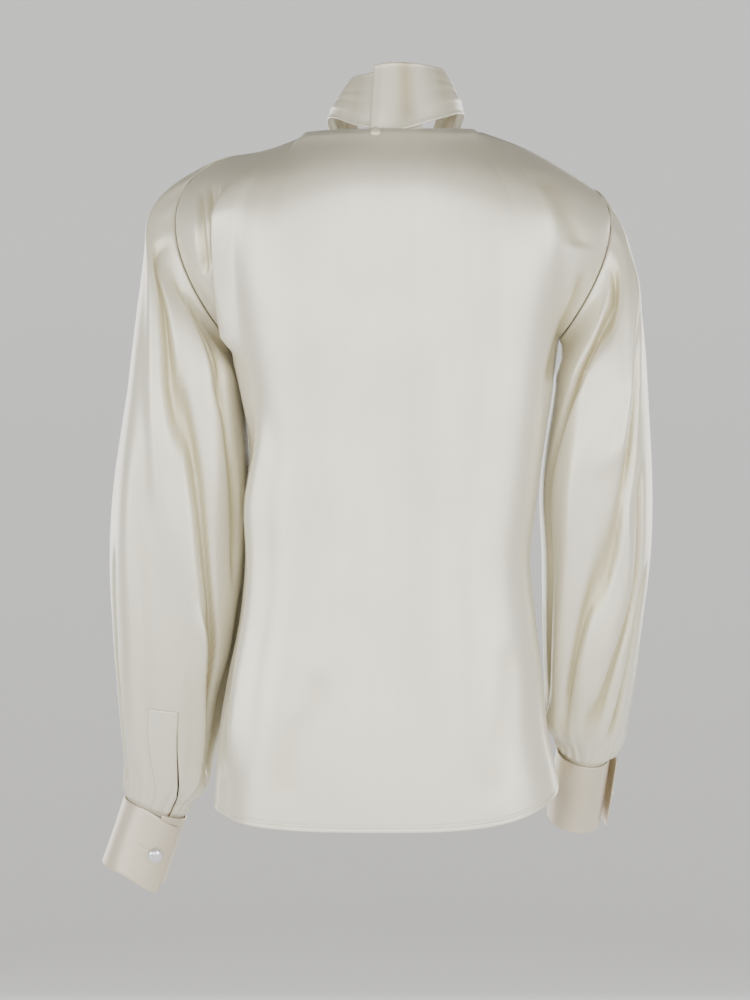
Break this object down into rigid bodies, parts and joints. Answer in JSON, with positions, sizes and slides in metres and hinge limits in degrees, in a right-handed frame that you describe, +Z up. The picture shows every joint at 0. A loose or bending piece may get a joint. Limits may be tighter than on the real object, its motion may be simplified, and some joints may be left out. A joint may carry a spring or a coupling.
{
  "type": "silk blouse",
  "caption": "Ivory silk satin blouse in worn form, with full sleeves gathered into buttoned cuffs, a V front and a scarf tied round the neck.",
  "frame": {"origin": "centre of the neck opening, level with the back neckline, where the wearer's neck and shoulders hold the blouse", "axes": "+Z up, the wearer faces -Y, +X is the wearer's left"},
  "size_m": [0.5416, 0.2611, 0.8096],
  "materials": {
    "ivory_satin": "heavy silk satin, ivory, soft sheen",
    "crystal_button": "polished, clear to silver white",
    "covered_button": "covered in the blouse's satin"
  },
  "bodies": {
    "root": {"back_panel": "ivory_satin", "front_panel": "ivory_satin", "sleeve_left": "ivory_satin", "sleeve_right": "ivory_satin", "placket_left": "ivory_satin", "placket_right": "ivory_satin", "cuff_left": "ivory_satin", "cuff_right": "ivory_satin", "scarf_neck_left": "ivory_satin", "scarf_neck_right": "ivory_satin", "scarf_knot": "ivory_satin", "scarf_end_left": "ivory_satin", "scarf_end_right": "ivory_satin", "cuff_button_left": "crystal_button", "cuff_button_right": "crystal_button", "nape_button": "covered_button"}
  },
  "joints": []
}
